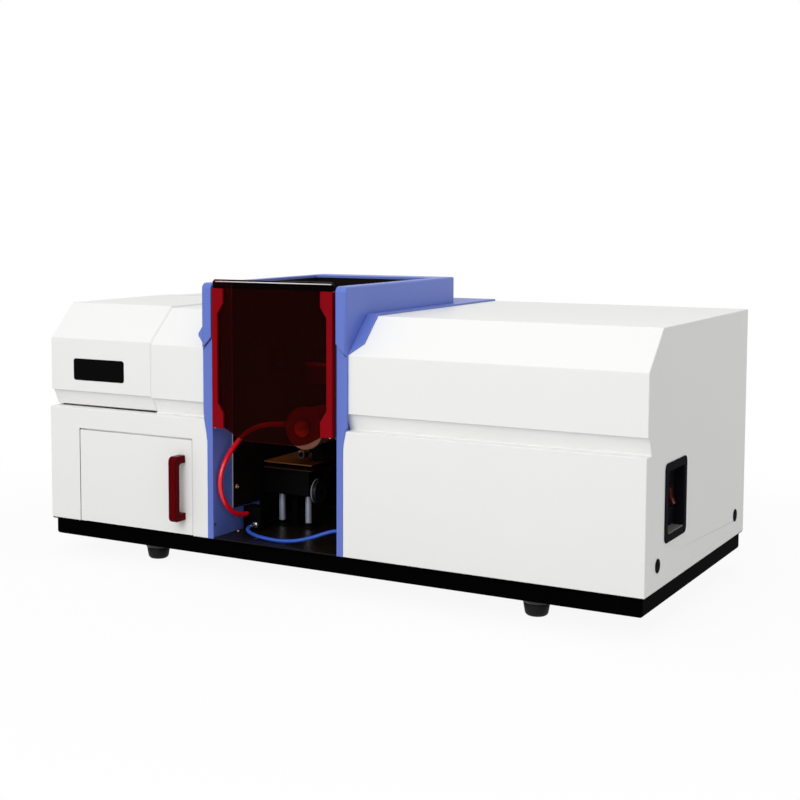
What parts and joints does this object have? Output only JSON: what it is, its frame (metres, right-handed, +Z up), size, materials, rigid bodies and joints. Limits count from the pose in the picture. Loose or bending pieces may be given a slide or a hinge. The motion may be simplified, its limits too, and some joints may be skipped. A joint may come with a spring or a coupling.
{
  "type": "atomic absorption spectrometer",
  "caption": "Bench flame atomic absorption spectrometer: white housings, blue burner chamber with chimney, smoked sliding shield, lamp lid, front door and adjustable burner.",
  "frame": {"origin": "middle of the footprint, at the bottom of the feet", "axes": "+X along the front from the lamp lid to the monochromator, +Y from the front to the back, +Z up"},
  "size_m": [1.023, 0.538, 0.468],
  "materials": {
    "white_enamel": "powder coat",
    "black_enamel": "satin",
    "blue_moulding": "fine satin",
    "blue_enamel": "satin",
    "black_moulding": "satin",
    "rubber": "matte",
    "red_enamel": "satin",
    "red_plastic": "gloss",
    "red_rocker": "gloss",
    "smoked_acrylic": "gloss",
    "window_glass": "gloss",
    "quartz": "polished",
    "aluminium": "anodised",
    "steel": "brushed",
    "brass": "turned",
    "titanium": "satin",
    "tan_plastic": "satin",
    "brown_enamel": "satin",
    "fuel_rubber": "gloss",
    "air_rubber": "gloss",
    "lamp_glass": "clear",
    "black_aluminium": "anodised"
  },
  "bodies": {
    "chassis": {"base_tray": "black_enamel", "deck_plate": "steel", "foot_rings": "black_moulding", "foot_pads": "rubber", "left_cover": "white_enamel", "right_cover": "white_enamel", "cover_plugs": "black_moulding", "left_column": "blue_moulding", "right_column": "blue_moulding", "chimney_hood": "blue_moulding", "rear_saddle": "blue_enamel", "rear_panel": "blue_enamel", "chamber_floor": "black_enamel", "chamber_back": "black_enamel", "chamber_liners": "black_enamel", "window_flanges": "black_aluminium", "beam_windows": "quartz", "shield_guides": "black_moulding", "burner_base": "black_aluminium", "lift_guides": "aluminium", "fuel_hose": "fuel_rubber", "air_hose": "air_rubber", "hose_manifold": "black_aluminium", "hinge_fixed_leaf": "steel", "door_hinge_pins": "steel", "recess_cup": "black_moulding", "switch_frame": "black_moulding", "mains_inlet": "black_moulding", "fan_frame": "black_moulding", "fan_guard": "steel", "gas_inlets": "brass", "lamp_bay": "steel", "turret_cradle": "aluminium", "stepping_motors": "steel", "mono_case": "aluminium", "mono_lid": "aluminium", "mono_mirrors": "aluminium", "detector_housing": "black_aluminium", "power_supply": "steel", "gas_controls": "aluminium"},
    "lid": {"lamp_lid": "white_enamel", "display_window": "window_glass", "hinge_lid_leaf": "steel"},
    "door": {"left_door": "white_enamel", "door_handle": "red_plastic"},
    "shield": {"shield_sheet": "smoked_acrylic", "shield_brackets": "red_enamel"},
    "lift": {"lift_block": "black_aluminium", "burner_stage": "brown_enamel", "spray_chamber": "tan_plastic", "nebuliser": "steel"},
    "knob": {"lift_knob": "black_moulding"},
    "burner": {"burner_head": "titanium"},
    "turret": {"lamp_turret": "aluminium", "hollow_cathode_lamps": "lamp_glass"},
    "turret_drive": {"turret_pinion": "brass"},
    "table": {"grating_table": "aluminium"},
    "scan_drive": {"scan_pinion": "brass"},
    "fan": {"fan_rotor": "black_moulding"},
    "rocker": {"switch_rocker": "red_rocker"}
  },
  "joints": [
    {"name": "lid_hinge", "type": "hinge", "parent": "chassis", "child": "lid", "pos_m": [-0.407, 0.0895, 0.4155], "axis": [-1, 0, 0], "range_deg": [0, 75]},
    {"name": "door_hinge", "type": "hinge", "parent": "chassis", "child": "door", "pos_m": [-0.444, -0.2372, 0.138], "axis": [0, 0, -1], "range_deg": [0, 95]},
    {"name": "shield_slide", "type": "slide", "parent": "chassis", "child": "shield", "axis": [0, 0, 1], "range_m": [0, 0.14]},
    {"name": "lift_slide", "type": "slide", "parent": "chassis", "child": "lift", "axis": [0, 0, 1], "range_m": [-0.008, 0.012], "deforming": ["fuel_hose"]},
    {"name": "knob_turn", "type": "hinge", "parent": "lift", "child": "knob", "pos_m": [-0.1216, -0.103, 0.125], "axis": [1, 0, 0], "range_deg": [-90, 60]},
    {"name": "burner_turn", "type": "hinge", "parent": "lift", "child": "burner", "pos_m": [-0.069, -0.051, 0.288], "axis": [0, 0, 1], "range_deg": [0, 90]},
    {"name": "turret_turn", "type": "hinge", "parent": "chassis", "child": "turret", "pos_m": [-0.409, 0.00061, 0.32566], "axis": [1, 0, 0], "continuous": true},
    {"name": "turret_drive_turn", "type": "hinge", "parent": "chassis", "child": "turret_drive", "pos_m": [-0.458, 0.09961, 0.32566], "axis": [1, 0, 0], "continuous": true},
    {"name": "grating_turn", "type": "hinge", "parent": "chassis", "child": "table", "pos_m": [0.19, 0.015, 0.251], "axis": [0, 0, 1], "range_deg": [-20, 20]},
    {"name": "scan_drive_turn", "type": "hinge", "parent": "chassis", "child": "scan_drive", "pos_m": [0.19, 0.063, 0.251], "axis": [0, 0, 1], "range_deg": [-101, 101]},
    {"name": "fan_spin", "type": "hinge", "parent": "chassis", "child": "fan", "pos_m": [0.2, 0.236, 0.151], "axis": [0, 1, 0], "continuous": true},
    {"name": "rocker_tilt", "type": "hinge", "parent": "chassis", "child": "rocker", "pos_m": [0.493, -0.098, 0.173], "axis": [0, 1, 0], "range_deg": [0, 28]}
  ],
  "couplings": [
    {"joint": "knob_turn", "follows": "lift_slide", "rad_per_m": -125},
    {"joint": "turret_drive_turn", "follows": "turret_turn", "ratio": -3.125},
    {"joint": "scan_drive_turn", "follows": "grating_turn", "ratio": -5}
  ]
}
